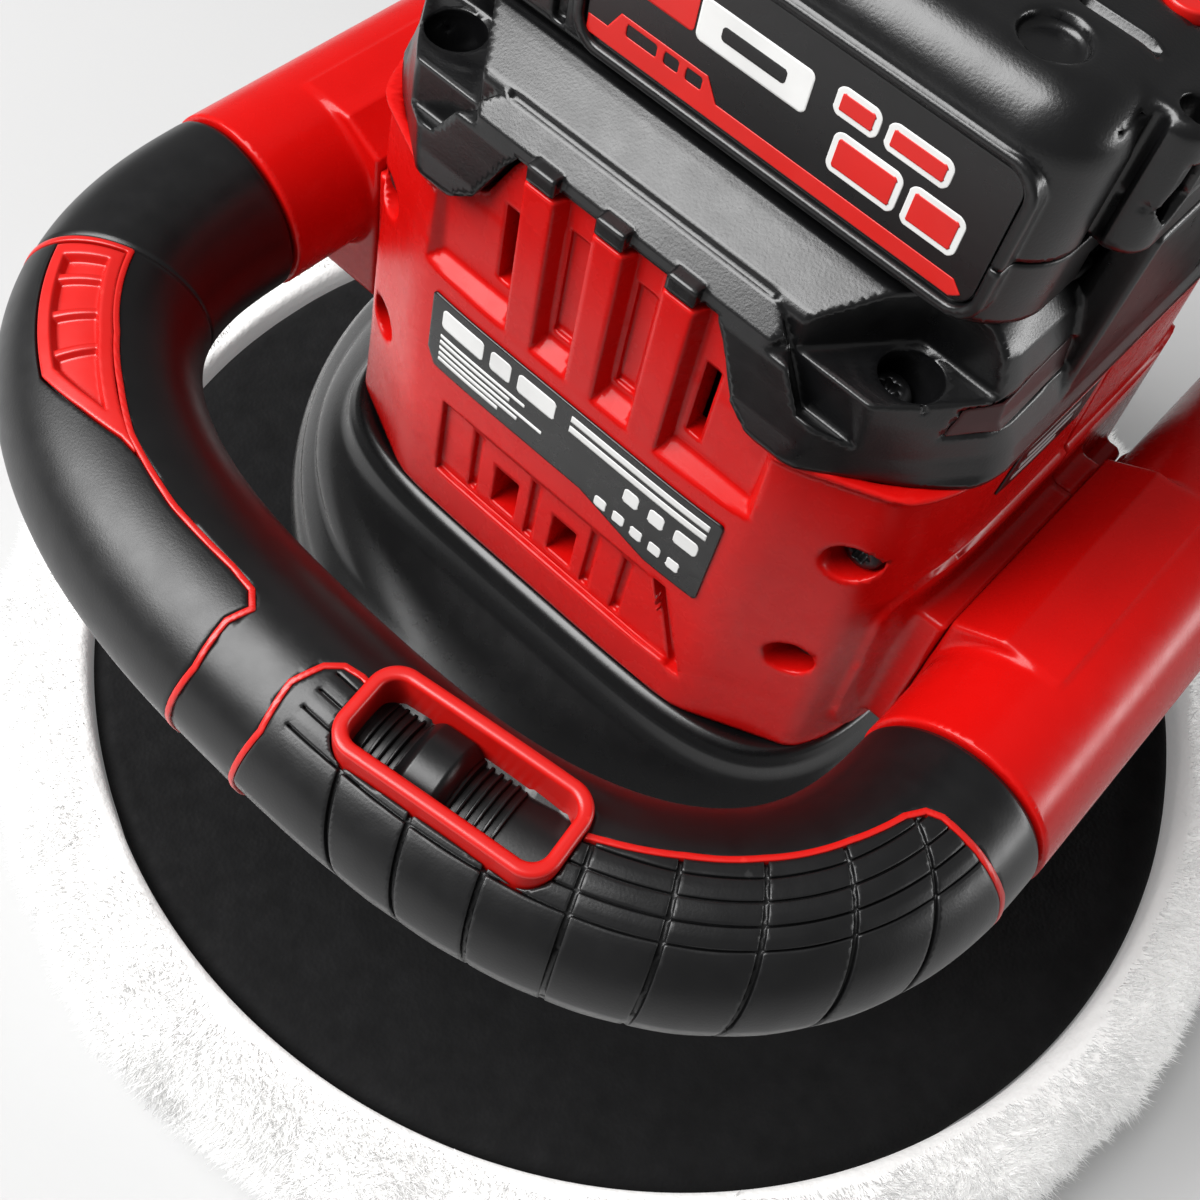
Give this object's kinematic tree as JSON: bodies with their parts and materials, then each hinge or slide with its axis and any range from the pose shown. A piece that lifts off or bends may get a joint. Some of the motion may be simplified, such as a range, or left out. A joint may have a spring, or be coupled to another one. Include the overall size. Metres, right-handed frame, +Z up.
{
  "type": "dual action polisher",
  "caption": "Cordless orbital polisher with a closed ring handle, slide switch, slide-on battery and a large foam pad under a fitted wool bonnet.",
  "frame": {"origin": "centre of the drive spindle's axis on the bonnet's flat underside", "axes": "+Z up along the spindle; -Y towards the front grip with the slide switch and the rating plate; +X to the right seen from that side"},
  "size_m": [0.292, 0.292, 0.2406],
  "materials": {
    "red_plastic": "saturated red moulded plastic, fine satin grain with soft highlights",
    "black_plastic": "matte black moulded plastic with a fine spark-eroded grain",
    "gloss_black": "smooth black plastic, semi-gloss",
    "soft_rubber": "soft black overmould, matte with a faint sheen",
    "steel": "zinc-plated or ground steel",
    "cast_aluminium": "die-cast, bead-blasted",
    "copper_winding": "varnished copper windings on a steel core",
    "ferrite": "dark sintered magnet",
    "wool": "white lambswool-type pile, fluffy and uneven",
    "foam": "closed-cell black foam, dull and finely pitted",
    "circuit_board": "green solder mask",
    "cell_wrap": "blue shrink sleeve"
  },
  "bodies": {
    "tool": {"motor_can": "steel", "ring_magnet": "ferrite", "brush_holder": "black_plastic", "gearbox_case": "cast_aluminium", "gearbox_cover": "cast_aluminium", "shaft_seal": "soft_rubber", "lower_bearing": "steel", "upper_bearing": "steel", "lower_shroud": "gloss_black", "base_plate": "cast_aluminium", "base_screw_1": "steel", "base_screw_2": "steel", "base_screw_3": "steel", "housing_front": "red_plastic", "housing_rear": "red_plastic", "rating_plate": "gloss_black", "case_screw_1": "steel", "case_screw_2": "steel", "case_screw_3": "steel", "case_screw_4": "steel", "cover_screw_1": "steel", "cover_screw_2": "steel", "cover_screw_3": "steel", "cover_screw_4": "steel", "controller": "circuit_board", "top_cover": "black_plastic", "terminal_block": "black_plastic", "handle_frame_right": "red_plastic", "handle_frame_left": "red_plastic", "front_grip_core": "black_plastic", "front_grip_tread": "soft_rubber", "front_grip_palm_pad": "soft_rubber", "front_grip_insert": "red_plastic", "rear_grip_core": "black_plastic", "rear_grip_tread": "soft_rubber", "rear_grip_palm_pad": "soft_rubber", "rear_grip_insert": "red_plastic", "switch_bezel": "red_plastic", "switch_block": "black_plastic"},
    "spindle": {"spindle": "steel", "output_gear": "steel", "eccentric_hub": "cast_aluminium", "counterweight": "steel", "pad_bearing": "steel"},
    "rotor": {"motor_shaft": "steel", "pinion": "steel", "armature": "copper_winding", "cooling_fan": "black_plastic"},
    "pad": {"bonnet": "wool", "foam_pad": "foam", "backing_plate": "black_plastic", "pad_bolt": "steel", "pad_nut": "steel"},
    "switch": {"switch_slider": "black_plastic"},
    "battery": {"battery_lower_case": "black_plastic", "battery_upper_case": "black_plastic", "battery_label": "gloss_black", "cell_pack": "cell_wrap"},
    "battery_release": {"release_button": "red_plastic"},
    "charge_check": {"charge_button": "red_plastic"}
  },
  "joints": [
    {"name": "spindle_spin", "type": "hinge", "parent": "tool", "child": "spindle", "pos_m": [0, 0, 0.08], "axis": [0, 0, 1], "continuous": true},
    {"name": "motor_spin", "type": "hinge", "parent": "tool", "child": "rotor", "pos_m": [0, 0.024, 0.12], "axis": [0, 0, 1], "continuous": true},
    {"name": "pad_spin", "type": "hinge", "parent": "spindle", "child": "pad", "pos_m": [0, -0.003, 0.055], "axis": [0, 0, 1], "continuous": true},
    {"name": "switch_slide", "type": "slide", "parent": "tool", "child": "switch", "axis": [0.9882, 0.153, 0], "range_m": [0, 0.0065]},
    {"name": "battery_slide", "type": "slide", "parent": "tool", "child": "battery", "axis": [-1, 0, 0], "range_m": [0, 0.1]},
    {"name": "release_press", "type": "slide", "parent": "battery", "child": "battery_release", "axis": [1, 0, 0], "range_m": [0, 0.004], "stiffness_N_per_m": 500},
    {"name": "charge_press", "type": "slide", "parent": "battery", "child": "charge_check", "axis": [0, 0, -1], "range_m": [0, 0.0008], "stiffness_N_per_m": 400}
  ],
  "couplings": [
    {"joint": "motor_spin", "follows": "spindle_spin", "ratio": -4}
  ]
}
